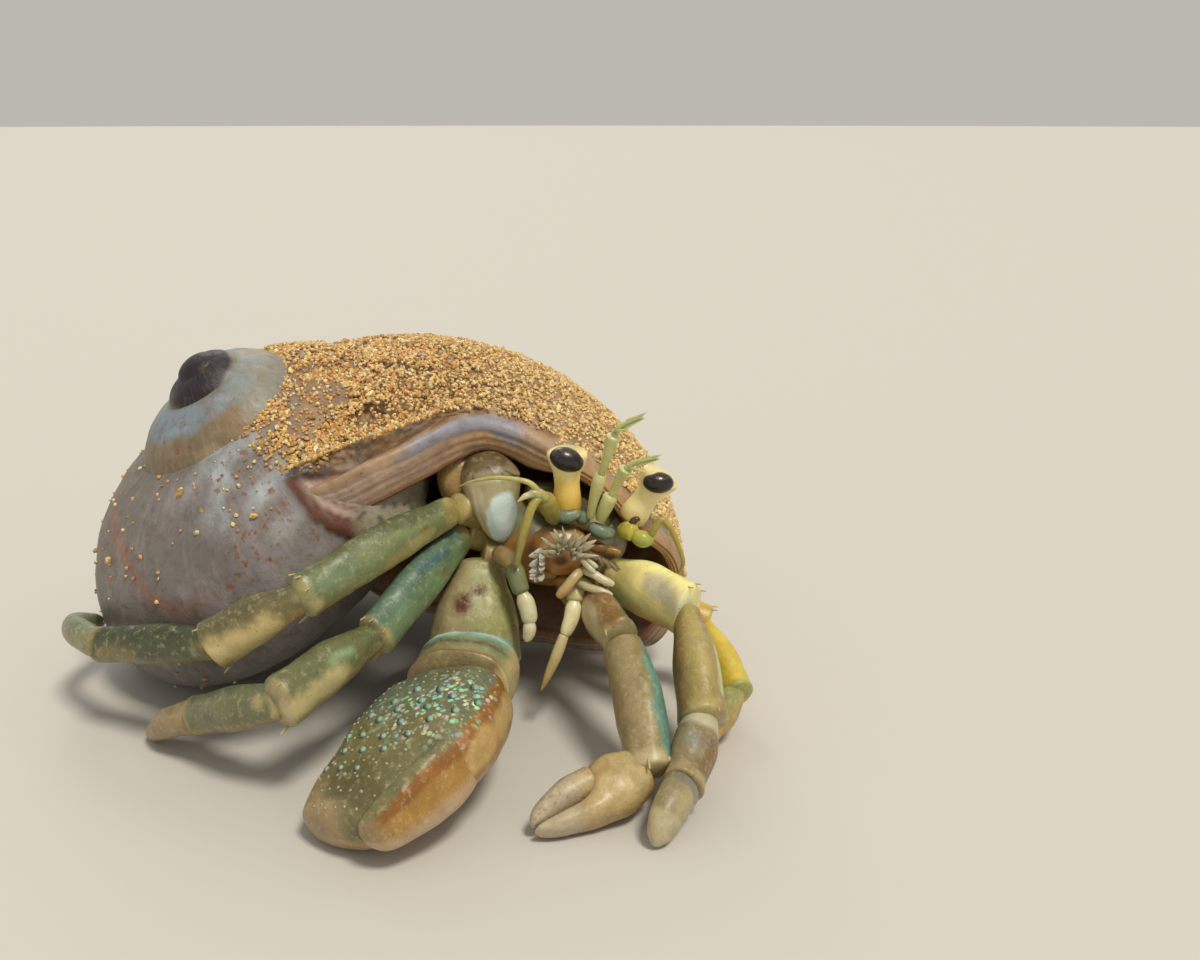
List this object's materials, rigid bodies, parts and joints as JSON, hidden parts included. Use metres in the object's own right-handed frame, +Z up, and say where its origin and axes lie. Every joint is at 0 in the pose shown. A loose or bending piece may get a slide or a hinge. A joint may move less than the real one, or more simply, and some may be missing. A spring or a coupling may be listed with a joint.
{
  "type": "hermit crab",
  "caption": "Hermit crab walking in a rounded moon-snail shell, with one large claw laid forward, stalked eyes, feelers and long walking legs.",
  "frame": {"origin": "centre of the box on the floor plane", "axes": "+X the way the crab faces, +Y to its left, +Z up from the floor"},
  "size_m": [0.0392, 0.0324, 0.0175],
  "materials": {
    "shell": "satin, with sand grains",
    "olive": "satin",
    "claw": "satin, pimpled",
    "cream": "satin",
    "plate": "satin",
    "flesh": "moist",
    "cornea": "glossy",
    "feeler": "satin"
  },
  "bodies": {
    "root": {"shell": "shell", "thorax": "flesh", "pleon": "flesh", "tail_fan": "plate", "shield": "plate", "mouthparts": "cream", "carapace_right": "plate", "carapace_left": "plate", "eyestalk_right": "cream", "cornea_right": "cornea", "eyestalk_left": "cream", "cornea_left": "cornea", "antennule_right": "feeler", "antennule_left": "feeler", "antenna_base_right": "feeler", "antenna_base_left": "feeler", "antenna_right": "feeler", "antenna_left": "feeler", "maxilliped_right": "feeler", "maxilliped_left": "feeler", "major_coxa": "olive", "major_merus": "olive", "major_carpus": "olive", "major_palm": "claw", "major_finger": "cream", "minor_coxa": "olive", "minor_merus": "olive", "minor_carpus": "olive", "minor_palm": "claw", "minor_finger": "cream", "secondRight_coxa": "olive", "secondRight_merus": "olive", "secondRight_carpus": "olive", "secondRight_propodus": "olive", "secondRight_dactyl": "olive", "secondLeft_coxa": "olive", "secondLeft_merus": "olive", "secondLeft_carpus": "olive", "secondLeft_propodus": "olive", "secondLeft_dactyl": "olive", "thirdRight_coxa": "olive", "thirdRight_merus": "olive", "thirdRight_carpus": "olive", "thirdRight_propodus": "olive", "thirdRight_dactyl": "olive", "thirdLeft_coxa": "olive", "thirdLeft_merus": "olive", "thirdLeft_carpus": "olive", "thirdLeft_propodus": "olive", "thirdLeft_dactyl": "olive", "fourthRight": "olive", "fourthLeft": "olive"}
  },
  "joints": []
}
